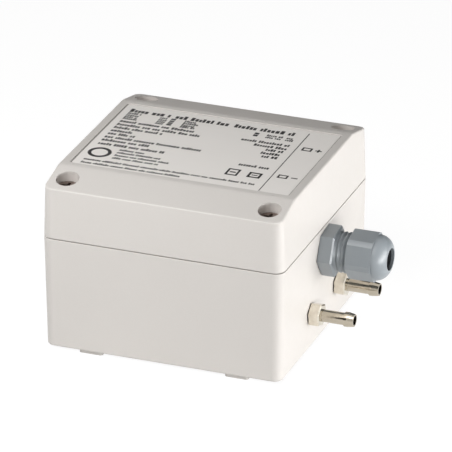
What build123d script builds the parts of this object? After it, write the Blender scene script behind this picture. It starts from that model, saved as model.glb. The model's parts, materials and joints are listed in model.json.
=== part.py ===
from build123d import *
import os
from math import radians, tan

# Pressure transmitter in a small moulded wall housing. All sizes are in millimetres.
# X points to the side with the cable gland, Y to the back and Z up. The origin is the
# middle of the four wall-fixing holes, on the plane that the feet stand on.

# Housing, outside
width = 82.0
depth = 83.0
cover_height = 20.5
strip_depth = 13.7
strip_drop = 3.2
corner_radius = 3.5
base_draft = 1.0
cover_draft = 2.0
bottom_fillet = 0.8
top_fillet = 0.6
crease_fillet = 6.0
seam_gap = 0.3
seam_fillet = 0.2

# Housing, inside
wall = 3.0
floor = 2.8
cover_top = 2.6
channel_depth = 10.5
cross_wall = 2.8
inner_radius = 2.0
rib_thickness = 1.4
rib_height = 3.0
rib_spacing = 24.0

# Seal between base and cover
seal_setback = 2.1
tongue_width = 1.2
tongue_height = 1.6
groove_clearance = 0.3
groove_depth = 3.2
groove_wall = 1.2
gasket_clearance = 0.05

# Feet and wall-fixing holes
foot_height = 1.1
foot_length = 8.0
foot_width = 11.0
foot_radius = 1.0
fixing_inset_x = 16.0
fixing_inset_y = 7.1
fixing_radius = 2.15
counterbore_radius = 4.0
counterbore_depth = 1.2

# Cover screws, their wells and their brass inserts
screw_inset_x = 6.7
screw_inset_y = 6.9
screw_radius = 2.0
screw_head_radius = 3.5
screw_head_height = 2.6
screw_head_round = 0.35
screw_head_sink = 2.3
screw_tip_chamfer = 0.4
screw_well_radius = 3.8
screw_running_gap = 0.1
screw_end_gap = 1.0
cross_recess_width = 1.0
cross_recess_length = 4.2
cross_recess_depth = 1.5
base_column_radius = 4.6
cover_column_radius = 5.0
insert_radius = 2.8
insert_length = 8.0
insert_sink = 0.3

# Label
recess_border_x = 3.7
recess_border_y = 2.4
recess_depth = 0.5
recess_radius = 0.6
recess_rim_fillet = 0.2
label_thickness = 0.2
label_gap = 0.35

# Cable gland, on the right-hand wall
port_line_y = -0.6
gland_height = 30.9
seam_above_gland = 8.4
gland_hex_across = 14.6
gland_hex_length = 4.8
gland_hex_turn = 6.0
gland_thread_radius = 6.0
gland_thread_reach = 8.0
gland_neck_radius = 6.75
neck_groove_depth = 0.5
neck_groove_pitch = 1.5
gland_neck_length = 9.0
gland_wire_radius = 4.0
gland_seat_radius = 5.0
gland_seat_start = 7.0
finger_radius = 5.9
finger_tip_radius = 5.2
finger_length = 4.5
finger_count = 8
finger_slot = 0.8
cap_start = 9.25
cap_hex_length = 8.5
cap_across = 15.0
cap_turned_radius = 8.15
cap_turn = 9.5
dome_radius = 7.5
dome_edge_radius = 4.2
dome_length = 4.4
mouth_radius = 3.7
mouth_length = 1.0
cap_running_gap = 0.1
cable_seal_radius = 3.25
cable_seal_length = 10.3
locknut_across = 16.0
locknut_thickness = 4.0
locknut_chamfer = 0.5
wall_hole_gap = 0.1
wall_seal_thickness = 0.2
wall_seal_radius = 7.2

# Hose nozzles, below the gland
nozzle_spacing = 24.7
nozzle_height = 13.4
nozzle_hex_across = 7.0
nozzle_hex_length = 3.8
nozzle_hex_chamfer = 0.35
nozzle_front_turn = 39.0
nozzle_rear_turn = 30.0
nozzle_tube_radius = 2.05
nozzle_tube_length = 7.8
nozzle_barb_radius = 2.45
nozzle_barb_land = 1.0
nozzle_barb_length = 3.2
nozzle_tip_radius = 2.1
nozzle_bore_radius = 1.6
nozzle_thread_radius = 2.6
nozzle_inner_reach = 6.5
nozzle_nut_across = 8.0
nozzle_nut_thickness = 2.6
nozzle_seal_radius = 3.2

# Circuit board with its posts and screws
board_end_gap = 1.5
board_side_gap = 2.2
board_port_gap = 18.5
board_thickness = 1.6
board_radius = 2.0
board_post_radius = 3.0
board_hole_inset = 3.5
board_screw_radius = 1.25
board_screw_head_radius = 2.6
board_screw_head_height = 1.8
board_screw_head_round = 0.6
board_screw_bite = 0.4
board_hole_gap = 0.1
component_gap = 1.2

# Pressure sensor and its hoses
sensor_length = 18.4
sensor_nipple_edge = 2.95
sensor_nipple_height = 3.9
sensor_port_depth = 4.0
sensor_edge_gap = 0.5
sensor_body_height = 8.0
sensor_cap_radius = 8.4
sensor_cap_height = 3.6
sensor_cap_round = 0.9
sensor_nipple_length = 7.0
hose_wall = 1.0
hose_end_gap = 0.3

# Wire terminals
terminal_depth = 9.0
terminal_height = 10.5
terminal_pitch = 5.08
terminal_count = 3
terminal_slope = 2.25
terminal_screw_radius = 1.8
terminal_screw_length = 3.4
terminal_screw_sink = 1.0
wire_entry_size = 3.2
wire_entry_height = 3.4
wire_entry_depth = 6.0

# Zero and span adjusters
trimmer_inset = 10.5
trimmer_size = 6.6
trimmer_chamfer = 0.55
trimmer_height = 4.2
trimmer_front_y = -11.5
trimmer_pitch = 9.5
rotor_radius = 2.1
rotor_height = 1.4
rotor_slot_length = 3.4

# Output selection pins with their link
header_y = 9.0
header_pitch = 2.54
header_pin_count = 3
header_height = 2.5
pin_size = 0.64
pin_height = 8.4
link_height = 6.0
link_wall = 0.75
link_side_gap = 0.2

# Filter capacitor and amplifier chip
capacitor_radius = 3.15
capacitor_height = 11.0
capacitor_round = 0.5
chip_length = 8.7
chip_width = 3.9
chip_height = 1.6
chip_chamfer = 0.25
chip_span = 5.9
chip_leg_count = 7
chip_leg_pitch = 1.27
chip_leg_width = 0.42
chip_leg_height = 0.5

# Small sizes that several pieces share
driver_slot = 0.6
driver_slot_depth = 0.8
adjuster_gap = 0.08
bonded_gap = 0.02
overlap = 0.01

# Heights and half sizes that follow from the sizes above
floor_z = foot_height + floor
parting_z = gland_height + seam_above_gland
base_height = parting_z - foot_height
rim_z = parting_z + seam_gap
top_z = parting_z + cover_height
ceiling_z = top_z - cover_top
inner_half_x = width / 2 - wall
inner_half_y = depth / 2 - wall
plateau_half_y = depth / 2 - strip_depth
chamber_half_y = inner_half_y - channel_depth - cross_wall
seal_half_x = width / 2 - seal_setback
seal_half_y = chamber_half_y + cross_wall / 2
groove_half_width = tongue_width / 2 + groove_clearance
groove_half_wall = groove_half_width + groove_wall
board_top_z = nozzle_height - sensor_nipple_height
board_z = board_top_z - board_thickness
board_screw_length = board_top_z - floor_z + board_screw_bite
well_mouth_z = top_z - (strip_depth - screw_inset_y) / strip_depth * strip_drop
screw_head_top_z = well_mouth_z - screw_head_sink
screw_seat_z = screw_head_top_z - screw_head_height
insert_top_z = parting_z - insert_sink
insert_bottom_z = insert_top_z - insert_length
insert_bore_radius = screw_radius + screw_running_gap
screw_tip_z = insert_bottom_z + screw_end_gap

# Places along the circuit board that follow from the housing's inside
board_left_x = board_end_gap - inner_half_x
board_right_x = inner_half_x - board_port_gap
board_half_y = chamber_half_y - board_side_gap
sensor_end_x = board_right_x - sensor_edge_gap
sensor_start_x = sensor_end_x - sensor_length
trimmer_x = board_left_x + trimmer_inset
terminal_x = (trimmer_x + trimmer_size / 2 + sensor_start_x) / 2
terminal_length = terminal_count * terminal_pitch
capacitor_y = terminal_length / 2 + component_gap + capacitor_radius
chip_y = -(terminal_length + chip_span) / 2 - component_gap


def four_places(half_x, half_y):
    """Places of four holes: front left, front right, rear left and rear right."""
    return [(x * half_x, y * half_y) for y in (-1, 1) for x in (-1, 1)]


corners = four_places(1, 1)
corner_names = ["front_left", "front_right", "rear_left", "rear_right"]
screw_places = four_places(width / 2 - screw_inset_x, depth / 2 - screw_inset_y)
fixing_places = four_places(width / 2 - fixing_inset_x, depth / 2 - fixing_inset_y)
board_hole_y = board_half_y - board_hole_inset
board_places = [
    (hole_x, side * board_hole_y)
    for hole_x in (board_left_x + board_hole_inset, sensor_start_x - board_hole_inset)
    for side in (-1, 1)
]
rest_places = [(board_right_x - board_hole_inset, side * board_hole_y) for side in (-1, 1)]


def wall_face_x(z):
    """Place of the right-hand wall's outer face, which leans in towards the feet."""
    return width / 2 - (parting_z - z) * tan(radians(base_draft))


def level_plane(z):
    """Horizontal plane at a height: extrusions from it run upwards."""
    return Plane.XY.offset(z)


def section_plane(x, y, z):
    """Plane along a horizontal axis: its x runs along +X and its y is the radius."""
    return Plane(origin=(x, y, z), x_dir=(1, 0, 0), z_dir=(0, -1, 0))


def across_plane(x, y, z):
    """Plane across a horizontal axis: extrusions from it run along +X."""
    return Plane(origin=(x, y, z), x_dir=(0, 1, 0), z_dir=(1, 0, 0))


def turn_profile(plane, points, mode=Mode.ADD):
    """Revolves a closed outline about the x axis of its plane."""
    with BuildSketch(plane) as profile:
        with BuildLine():
            Polyline(*points, close=True)
        make_face()
    revolve(profile.sketch, axis=Axis(plane.origin, plane.x_dir), mode=mode)


def hexagon_prism(plane, across, length, turn):
    """Extrudes a hexagon of the given width across flats, its corners turned by an angle."""
    with BuildSketch(plane) as profile:
        RegularPolygon(across / 2, 6, major_radius=False, rotation=turn)
    extrude(profile.sketch, amount=length)


def round_bars(plane, radius, length, places=((0, 0),), mode=Mode.ADD):
    """Adds or cuts round bars that start on a plane and run along its normal."""
    with BuildSketch(plane) as profile:
        with Locations(*places):
            Circle(radius)
    extrude(profile.sketch, amount=length, mode=mode)


def ring(plane, outer_radius, inner_radius, length):
    """Adds a round tube that starts on a plane and runs along its normal."""
    with BuildSketch(plane) as profile:
        Circle(outer_radius)
        Circle(inner_radius, mode=Mode.SUBTRACT)
    extrude(profile.sketch, amount=length)


def boxes(plane, length, breadth, height, places=((0, 0),), mode=Mode.ADD):
    """Adds or cuts rectangular blocks that start on a plane and run along its normal."""
    with BuildSketch(plane) as profile:
        with Locations(*places):
            Rectangle(length, breadth)
    extrude(profile.sketch, amount=height, mode=mode)


def cut_sloping_strips(top):
    """Takes the sloping front and rear strips off a block whose flat top is at this height."""
    outer = depth / 2
    with BuildSketch(Plane.YZ) as profile:
        with BuildLine():
            Polyline(
                (plateau_half_y, top),
                (outer, top - strip_drop),
                (outer + wall, top - strip_drop),
                (outer + wall, top + wall),
                (plateau_half_y, top + wall),
                close=True,
            )
        make_face()
        mirror(about=Plane.YZ)
    extrude(profile.sketch, amount=width, both=True, mode=Mode.SUBTRACT)


def seal_ring(z, half_width, height, mode):
    """Adds or cuts a ring that follows the line of the seal."""
    with BuildSketch(level_plane(z)) as profile:
        RectangleRounded(
            2 * (seal_half_x + half_width),
            2 * (seal_half_y + half_width),
            inner_radius + half_width,
        )
        RectangleRounded(
            2 * (seal_half_x - half_width),
            2 * (seal_half_y - half_width),
            inner_radius,
            mode=Mode.SUBTRACT,
        )
    extrude(profile.sketch, amount=height, mode=mode)


def corner_columns(z, radius, height):
    """Leaves a round column in each corner of a core, filled out to the corner's walls."""
    round_bars(level_plane(z), radius, height, screw_places, Mode.SUBTRACT)
    reach = wall + corner_radius
    for (screw_x, screw_y), (side_x, side_y) in zip(screw_places, corners):
        middle = (screw_x + side_x * reach / 2, screw_y + side_y * reach / 2)
        boxes(level_plane(z), reach, reach, height, [middle], Mode.SUBTRACT)


def channels(z, inner_edge, height, taper):
    """Adds the two narrow spaces in front of and behind the sealed chamber."""
    channel_width = inner_half_y - inner_edge
    with BuildSketch(level_plane(z)) as profile:
        for side in (-1, 1):
            with Locations((0, side * (inner_edge + channel_width / 2))):
                RectangleRounded(2 * inner_half_x, channel_width, inner_radius)
    extrude(profile.sketch, amount=height, taper=taper)


# Base of the housing
with BuildPart() as base_core:
    with BuildSketch(level_plane(floor_z)):
        RectangleRounded(2 * inner_half_x, 2 * chamber_half_y, inner_radius)
    extrude(amount=base_height)
    channels(floor_z, chamber_half_y + cross_wall, base_height, 0)
    corner_columns(floor_z, base_column_radius, base_height)
    round_bars(
        level_plane(floor_z),
        board_post_radius,
        board_z - floor_z,
        board_places + rest_places,
        Mode.SUBTRACT,
    )

nozzle_places = {
    "front": (port_line_y - nozzle_spacing / 2, nozzle_front_turn),
    "rear": (port_line_y + nozzle_spacing / 2, nozzle_rear_turn),
}

with BuildPart() as base_housing:
    with BuildSketch(level_plane(parting_z)):
        RectangleRounded(width, depth, corner_radius)
    extrude(amount=-base_height, taper=base_draft)
    fillet(base_housing.faces().sort_by(Axis.Z)[0].edges(), bottom_fillet)
    fillet(base_housing.faces().sort_by(Axis.Z)[-1].edges(), seam_fillet)
    with BuildSketch(Plane.XY):
        with Locations(*fixing_places):
            RectangleRounded(foot_length, foot_width, foot_radius)
    extrude(amount=foot_height + bottom_fillet)
    add(base_core.part, mode=Mode.SUBTRACT)
    seal_ring(parting_z, tongue_width / 2, tongue_height, Mode.ADD)
    round_bars(Plane.XY, fixing_radius, floor_z, fixing_places, Mode.SUBTRACT)
    round_bars(
        level_plane(floor_z), counterbore_radius, -counterbore_depth, fixing_places, Mode.SUBTRACT
    )
    round_bars(
        level_plane(insert_bottom_z),
        insert_radius + bonded_gap,
        base_height,
        screw_places,
        Mode.SUBTRACT,
    )
    round_bars(
        level_plane(insert_bottom_z), insert_bore_radius, -screw_end_gap, screw_places, Mode.SUBTRACT
    )
    round_bars(
        level_plane(board_z),
        board_screw_radius + bonded_gap,
        board_thickness - board_screw_length,
        board_places,
        Mode.SUBTRACT,
    )
    round_bars(
        across_plane(inner_half_x - overlap, port_line_y, gland_height),
        gland_thread_radius + wall_hole_gap,
        2 * wall,
        mode=Mode.SUBTRACT,
    )
    for nozzle_y, nozzle_turn in nozzle_places.values():
        round_bars(
            across_plane(inner_half_x - overlap, nozzle_y, nozzle_height),
            nozzle_thread_radius + wall_hole_gap,
            2 * wall,
            mode=Mode.SUBTRACT,
        )

# Cover of the housing
with BuildPart() as cover_core:
    with BuildSketch(level_plane(rim_z)):
        RectangleRounded(
            2 * (seal_half_x - groove_half_wall),
            2 * (seal_half_y - groove_half_wall),
            inner_radius,
        )
    extrude(amount=ceiling_z - rim_z)
    rib_places = [(0, -rib_spacing / 2), (0, rib_spacing / 2)]
    boxes(level_plane(ceiling_z), width, rib_thickness, -rib_height, rib_places, Mode.SUBTRACT)
    channels(rim_z, seal_half_y + groove_half_wall, ceiling_z - rim_z, cover_draft)
    corner_columns(rim_z, cover_column_radius, cover_height)
    cut_sloping_strips(ceiling_z)

with BuildPart() as cover:
    with BuildSketch(level_plane(rim_z)):
        RectangleRounded(width, depth, corner_radius)
    extrude(amount=top_z - rim_z, taper=cover_draft)
    cut_sloping_strips(top_z)
    fillet(cover.faces().sort_by(Axis.Z)[-1].edges().filter_by(Axis.X), crease_fillet)
    upper = cover.faces().filter_by(lambda face: face.normal_at().Z > 0.9)
    outline = [
        edge
        for edge in upper.edges()
        if len([face for face in upper if edge in face.edges()]) == 1
    ]
    fillet(outline, top_fillet)
    fillet(cover.faces().sort_by(Axis.Z)[0].edges(), seam_fillet)
    add(cover_core.part, mode=Mode.SUBTRACT)
    seal_ring(rim_z, groove_half_width, groove_depth, Mode.SUBTRACT)
    round_bars(level_plane(parting_z), base_column_radius, 2 * seam_gap, screw_places)
    with BuildSketch(level_plane(top_z)):
        RectangleRounded(
            width - 2 * recess_border_x, 2 * (plateau_half_y - recess_border_y), recess_radius
        )
    extrude(amount=-recess_depth, mode=Mode.SUBTRACT)
    plateau = cover.faces().sort_by(Axis.Z)[-1]
    fillet(plateau.inner_wires()[0].edges(), recess_rim_fillet)
    round_bars(
        level_plane(screw_seat_z),
        screw_radius + screw_running_gap,
        -cover_height,
        screw_places,
        Mode.SUBTRACT,
    )
    round_bars(
        level_plane(screw_seat_z), screw_well_radius, cover_height, screw_places, Mode.SUBTRACT
    )

with BuildPart() as cover_gasket:
    seal_ring(
        parting_z + tongue_height,
        groove_half_width - gasket_clearance,
        seam_gap + groove_depth - tongue_height,
        Mode.ADD,
    )

with BuildPart() as label_film:
    with BuildSketch(level_plane(top_z - recess_depth)):
        RectangleRounded(
            width - 2 * (recess_border_x + label_gap),
            2 * (plateau_half_y - recess_border_y - label_gap),
            recess_radius,
        )
    extrude(amount=label_thickness)

# Cover screws and the brass inserts that they screw into
cover_screws = {}
for corner_name, screw_place in zip(corner_names, screw_places):
    with BuildPart() as cover_screw:
        round_bars(
            level_plane(screw_seat_z), screw_head_radius, screw_head_height, [screw_place]
        )
        fillet(cover_screw.edges().group_by(Axis.Z)[-1], screw_head_round)
        for length, breadth in (
            (cross_recess_length, cross_recess_width),
            (cross_recess_width, cross_recess_length),
        ):
            boxes(
                level_plane(screw_head_top_z),
                length,
                breadth,
                -cross_recess_depth,
                [screw_place],
                Mode.SUBTRACT,
            )
        round_bars(
            level_plane(screw_tip_z), screw_radius, screw_seat_z - screw_tip_z, [screw_place]
        )
        chamfer(cover_screw.edges().group_by(Axis.Z)[0], screw_tip_chamfer)
    cover_screws[f"{corner_name}_cover_screw"] = cover_screw

with BuildPart() as screw_inserts:
    round_bars(level_plane(insert_bottom_z), insert_radius, insert_length, screw_places)
    round_bars(
        level_plane(insert_bottom_z), insert_bore_radius, insert_length, screw_places, Mode.SUBTRACT
    )

# Cable gland: hexagon body with gripping fingers, seals, cap and lock nut
gland_x = wall_face_x(gland_height) + wall_seal_thickness
gland_section = section_plane(gland_x, port_line_y, gland_height)
gland_neck_end = gland_hex_length + gland_neck_length
finger_end = gland_neck_end + finger_length
gland_inner_end = inner_half_x - gland_thread_reach - gland_x
neck_groove_count = int(gland_neck_length / neck_groove_pitch)

with BuildPart() as gland_body:
    hexagon_prism(
        across_plane(gland_x, port_line_y, gland_height),
        gland_hex_across,
        gland_hex_length,
        gland_hex_turn,
    )
    chamfer(gland_body.faces().sort_by(Axis.X)[-1].edges(), neck_groove_depth)
    turn_profile(
        gland_section,
        [
            (gland_inner_end, gland_wire_radius),
            (gland_inner_end, gland_thread_radius),
            (0, gland_thread_radius),
            (0, gland_neck_radius),
            (gland_neck_end, gland_neck_radius),
            (gland_neck_end, finger_radius),
            (finger_end, finger_tip_radius),
            (finger_end, gland_seat_radius),
            (gland_seat_start, gland_seat_radius),
            (gland_seat_start, gland_wire_radius),
        ],
    )
    round_bars(
        across_plane(gland_x, port_line_y, gland_height),
        gland_wire_radius,
        gland_hex_length,
        mode=Mode.SUBTRACT,
    )
    for number in range(neck_groove_count):
        groove_x = gland_hex_length + (number + 0.5) * neck_groove_pitch
        turn_profile(
            gland_section,
            [
                (groove_x, gland_neck_radius - neck_groove_depth),
                (groove_x + neck_groove_pitch / 2, gland_neck_radius + overlap),
                (groove_x - neck_groove_pitch / 2, gland_neck_radius + overlap),
            ],
            Mode.SUBTRACT,
        )
    with BuildSketch(across_plane(gland_x + finger_end, port_line_y, gland_height)):
        with PolarLocations(0, finger_count):
            Rectangle(gland_neck_radius, finger_slot, align=(Align.MIN, Align.CENTER))
    extrude(amount=-finger_length, mode=Mode.SUBTRACT)

with BuildPart() as gland_wall_seal:
    ring(
        across_plane(inner_half_x, port_line_y, gland_height),
        wall_seal_radius,
        gland_thread_radius + wall_hole_gap,
        gland_x - inner_half_x,
    )
    add(base_housing.part, mode=Mode.SUBTRACT)

with BuildPart() as gland_locknut:
    locknut_plane = across_plane(inner_half_x - locknut_thickness, port_line_y, gland_height)
    hexagon_prism(locknut_plane, locknut_across, locknut_thickness, 0)
    chamfer(gland_locknut.edges().filter_by(Axis.X), locknut_chamfer)
    round_bars(
        locknut_plane, gland_thread_radius + bonded_gap, locknut_thickness, mode=Mode.SUBTRACT
    )

with BuildPart() as gland_cable_seal:
    ring(
        across_plane(gland_x + gland_seat_start, port_line_y, gland_height),
        gland_seat_radius - bonded_gap,
        cable_seal_radius,
        cable_seal_length,
    )

cap_dome_start = cap_start + cap_hex_length
cap_end = cap_dome_start + dome_length
dome_drop = dome_radius - dome_edge_radius
dome_arc_radius = (dome_length**2 + dome_drop**2) / (2 * dome_drop)

with BuildPart() as gland_cap:
    hexagon_prism(
        across_plane(gland_x + cap_start, port_line_y, gland_height),
        cap_across,
        cap_hex_length,
        cap_turn,
    )
    round_bars(
        across_plane(gland_x + cap_start, port_line_y, gland_height),
        cap_turned_radius,
        cap_hex_length,
        mode=Mode.INTERSECT,
    )
    with BuildSketch(gland_section):
        with BuildLine():
            Polyline(
                (cap_end, dome_edge_radius),
                (cap_end, 0),
                (cap_start, 0),
                (cap_start, gland_neck_radius),
                (cap_dome_start, dome_radius),
            )
            RadiusArc(
                (cap_dome_start, dome_radius), (cap_end, dome_edge_radius), dome_arc_radius
            )
        make_face()
    revolve(axis=Axis(gland_section.origin, (1, 0, 0)))
    turn_profile(
        gland_section,
        [
            (cap_start, 0),
            (cap_start, gland_neck_radius + cap_running_gap),
            (gland_neck_end + 2 * cap_running_gap, gland_neck_radius + cap_running_gap),
            (gland_neck_end + 2 * cap_running_gap, finger_radius + 2 * cap_running_gap),
            (finger_end + 2 * cap_running_gap, finger_tip_radius + 2 * cap_running_gap),
            (cap_end - mouth_length, mouth_radius),
            (cap_end, mouth_radius),
            (cap_end, 0),
        ],
        Mode.SUBTRACT,
    )

# Hose nozzles, with their wall seals and lock nuts
nozzle_x = wall_face_x(nozzle_height) + wall_seal_thickness
nozzle_tube_end = nozzle_hex_length + nozzle_tube_length
nozzle_land_end = nozzle_tube_end + nozzle_barb_land
nozzle_tip = nozzle_tube_end + nozzle_barb_length
nozzle_inner_start = inner_half_x - nozzle_nut_thickness - nozzle_barb_land - nozzle_x
nozzle_inner_tip = nozzle_inner_start - nozzle_inner_reach
nozzle_inner_barb = nozzle_inner_tip + nozzle_barb_length

hose_nozzles = {}
for place, (nozzle_y, nozzle_turn) in nozzle_places.items():
    with BuildPart() as hose_nozzle:
        hexagon_prism(
            across_plane(nozzle_x, nozzle_y, nozzle_height),
            nozzle_hex_across,
            nozzle_hex_length,
            nozzle_turn,
        )
        chamfer(hose_nozzle.faces().filter_by(Axis.X).edges(), nozzle_hex_chamfer)
        turn_profile(
            section_plane(nozzle_x, nozzle_y, nozzle_height),
            [
                (nozzle_inner_tip, nozzle_bore_radius),
                (nozzle_inner_tip, nozzle_tip_radius),
                (nozzle_inner_barb, nozzle_barb_radius),
                (nozzle_inner_barb, nozzle_tube_radius),
                (nozzle_inner_start, nozzle_tube_radius),
                (nozzle_inner_start, nozzle_thread_radius),
                (nozzle_hex_length / 2, nozzle_thread_radius),
                (nozzle_hex_length / 2, nozzle_tube_radius),
                (nozzle_tube_end, nozzle_tube_radius),
                (nozzle_tube_end, nozzle_barb_radius),
                (nozzle_land_end, nozzle_barb_radius),
                (nozzle_tip, nozzle_tip_radius),
                (nozzle_tip, nozzle_bore_radius),
            ],
        )
        round_bars(
            across_plane(nozzle_x, nozzle_y, nozzle_height),
            nozzle_bore_radius,
            nozzle_hex_length,
            mode=Mode.SUBTRACT,
        )
    hose_nozzles[f"{place}_hose_nozzle"] = hose_nozzle

with BuildPart() as nozzle_wall_seals:
    for nozzle_y, nozzle_turn in nozzle_places.values():
        ring(
            across_plane(inner_half_x, nozzle_y, nozzle_height),
            nozzle_seal_radius,
            nozzle_thread_radius + wall_hole_gap,
            nozzle_x - inner_half_x,
        )
    add(base_housing.part, mode=Mode.SUBTRACT)

with BuildPart() as nozzle_locknuts:
    for nozzle_y, nozzle_turn in nozzle_places.values():
        nut_plane = across_plane(inner_half_x - nozzle_nut_thickness, nozzle_y, nozzle_height)
        hexagon_prism(nut_plane, nozzle_nut_across, nozzle_nut_thickness, nozzle_turn)
        round_bars(
            nut_plane,
            nozzle_thread_radius + bonded_gap,
            nozzle_nut_thickness,
            mode=Mode.SUBTRACT,
        )

# Circuit board with its fixing screws
with BuildPart() as circuit_board:
    with BuildSketch(level_plane(board_z)):
        with Locations(((board_left_x + board_right_x) / 2, 0)):
            RectangleRounded(board_right_x - board_left_x, 2 * board_half_y, board_radius)
    extrude(amount=board_thickness)
    round_bars(
        level_plane(board_z),
        board_screw_radius + board_hole_gap,
        board_thickness,
        board_places,
        Mode.SUBTRACT,
    )

with BuildPart() as board_screws:
    round_bars(
        level_plane(board_top_z), board_screw_head_radius, board_screw_head_height, board_places
    )
    fillet(board_screws.edges().group_by(Axis.Z)[-1], board_screw_head_round)
    boxes(
        level_plane(board_top_z + board_screw_head_height),
        2 * board_screw_head_radius,
        driver_slot,
        -driver_slot_depth,
        board_places,
        Mode.SUBTRACT,
    )
    round_bars(level_plane(board_top_z), board_screw_radius, -board_screw_length, board_places)

# Pressure sensor, with a nipple towards each nozzle
sensor_x = (sensor_start_x + sensor_end_x) / 2
sensor_width = nozzle_spacing + 2 * sensor_nipple_edge
sensor_barb_start = sensor_nipple_length - nozzle_barb_length

with BuildPart() as pressure_sensor:
    with BuildSketch(level_plane(board_top_z)):
        with Locations((sensor_x, port_line_y)):
            RectangleRounded(sensor_length, sensor_width, board_radius)
    extrude(amount=sensor_body_height)
    round_bars(
        level_plane(board_top_z + sensor_body_height),
        sensor_cap_radius,
        sensor_cap_height,
        [(sensor_x, port_line_y)],
    )
    fillet(pressure_sensor.edges().group_by(Axis.Z)[-1], sensor_cap_round)
    for nozzle_y, nozzle_turn in nozzle_places.values():
        turn_profile(
            section_plane(sensor_end_x, nozzle_y, nozzle_height),
            [
                (-overlap, 0),
                (-overlap, nozzle_tube_radius),
                (sensor_barb_start, nozzle_tube_radius),
                (sensor_barb_start, nozzle_barb_radius),
                (sensor_nipple_length, nozzle_tip_radius),
                (sensor_nipple_length, 0),
            ],
        )
    round_bars(
        across_plane(sensor_end_x - sensor_port_depth, 0, nozzle_height),
        nozzle_bore_radius,
        sensor_port_depth + sensor_nipple_length,
        [(nozzle_y, 0) for nozzle_y, nozzle_turn in nozzle_places.values()],
        Mode.SUBTRACT,
    )

hose_start_x = sensor_end_x + hose_end_gap
hose_end_x = nozzle_x + nozzle_inner_start - hose_end_gap
hose_bore_radius = nozzle_barb_radius + bonded_gap

sensor_hoses = {}
for place, (nozzle_y, nozzle_turn) in nozzle_places.items():
    with BuildPart() as sensor_hose:
        ring(
            across_plane(hose_start_x, nozzle_y, nozzle_height),
            hose_bore_radius + hose_wall,
            hose_bore_radius,
            hose_end_x - hose_start_x,
        )
    sensor_hoses[f"{place}_sensor_hose"] = sensor_hose

# Wire terminals with their clamp screws
terminal_rear_x = terminal_x - terminal_depth / 2
terminal_front_x = terminal_x + terminal_depth / 2
terminal_top_z = board_top_z + terminal_height
terminal_screw_x = (terminal_rear_x + terminal_front_x - terminal_slope) / 2
terminal_screw_top_z = terminal_top_z - terminal_screw_sink
terminal_ys = [
    (number - (terminal_count - 1) / 2) * terminal_pitch for number in range(terminal_count)
]

with BuildPart() as terminal_block:
    with BuildSketch(section_plane(0, terminal_length / 2, 0)):
        with BuildLine():
            Polyline(
                (terminal_rear_x, board_top_z),
                (terminal_front_x, board_top_z),
                (terminal_front_x, terminal_top_z - terminal_slope),
                (terminal_front_x - terminal_slope, terminal_top_z),
                (terminal_rear_x, terminal_top_z),
                close=True,
            )
        make_face()
    extrude(amount=terminal_length)
    boxes(
        across_plane(terminal_front_x, 0, board_top_z + wire_entry_height),
        wire_entry_size,
        wire_entry_size,
        -wire_entry_depth,
        [(screw_y, 0) for screw_y in terminal_ys],
        Mode.SUBTRACT,
    )
    round_bars(
        level_plane(terminal_screw_top_z - terminal_screw_length),
        terminal_screw_radius + adjuster_gap,
        terminal_height,
        [(terminal_screw_x, screw_y) for screw_y in terminal_ys],
        Mode.SUBTRACT,
    )

terminal_screws = {}
for number, screw_y in enumerate(terminal_ys, start=1):
    with BuildPart() as terminal_screw:
        round_bars(
            level_plane(terminal_screw_top_z),
            terminal_screw_radius,
            -terminal_screw_length,
            [(terminal_screw_x, screw_y)],
        )
        boxes(
            level_plane(terminal_screw_top_z),
            2 * terminal_screw_radius,
            driver_slot,
            -driver_slot_depth,
            [(terminal_screw_x, screw_y)],
            Mode.SUBTRACT,
        )
    terminal_screws[f"terminal_screw_{number}"] = terminal_screw

# Zero and span adjusters
trimmer_bodies = {}
trimmer_rotors = {}
for number, place in enumerate(("zero", "span")):
    trimmer_place = (trimmer_x, trimmer_front_y + number * trimmer_pitch)
    with BuildPart() as trimmer_body:
        boxes(
            level_plane(board_top_z), trimmer_size, trimmer_size, trimmer_height, [trimmer_place]
        )
        chamfer(trimmer_body.edges().filter_by(Axis.Z), trimmer_chamfer)
        round_bars(
            level_plane(board_top_z + trimmer_height),
            rotor_radius + adjuster_gap,
            -rotor_height,
            [trimmer_place],
            Mode.SUBTRACT,
        )
    with BuildPart() as trimmer_rotor:
        round_bars(
            level_plane(board_top_z + trimmer_height),
            rotor_radius,
            -rotor_height,
            [trimmer_place],
        )
        boxes(
            level_plane(board_top_z + trimmer_height),
            rotor_slot_length,
            driver_slot,
            -driver_slot_depth,
            [trimmer_place],
            Mode.SUBTRACT,
        )
    trimmer_bodies[f"{place}_trimmer"] = trimmer_body
    trimmer_rotors[f"{place}_adjuster"] = trimmer_rotor

# Output selection pins and the link that joins the first two of them
header_length = header_pin_count * header_pitch
pin_ys = [
    header_y + (number - (header_pin_count - 1) / 2) * header_pitch
    for number in range(header_pin_count)
]
pin_places = [(trimmer_x, pin_y) for pin_y in pin_ys]
link_place = (trimmer_x, (pin_ys[0] + pin_ys[1]) / 2)
link_slot_width = pin_size + 2 * link_side_gap
link_slot_length = header_pitch + link_slot_width

with BuildPart() as pin_header:
    boxes(
        level_plane(board_top_z),
        header_pitch,
        header_length,
        header_height,
        [(trimmer_x, header_y)],
    )
    boxes(
        level_plane(board_top_z),
        pin_size + bonded_gap,
        pin_size + bonded_gap,
        header_height,
        pin_places,
        Mode.SUBTRACT,
    )

with BuildPart() as header_pins:
    boxes(level_plane(board_top_z), pin_size, pin_size, pin_height, pin_places)

with BuildPart() as selection_link:
    boxes(
        level_plane(board_top_z + header_height),
        link_slot_width + 2 * link_wall,
        link_slot_length + 2 * link_wall,
        link_height + link_wall,
        [link_place],
    )
    boxes(
        level_plane(board_top_z + header_height),
        link_slot_width,
        link_slot_length,
        link_height,
        [link_place],
        Mode.SUBTRACT,
    )

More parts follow.
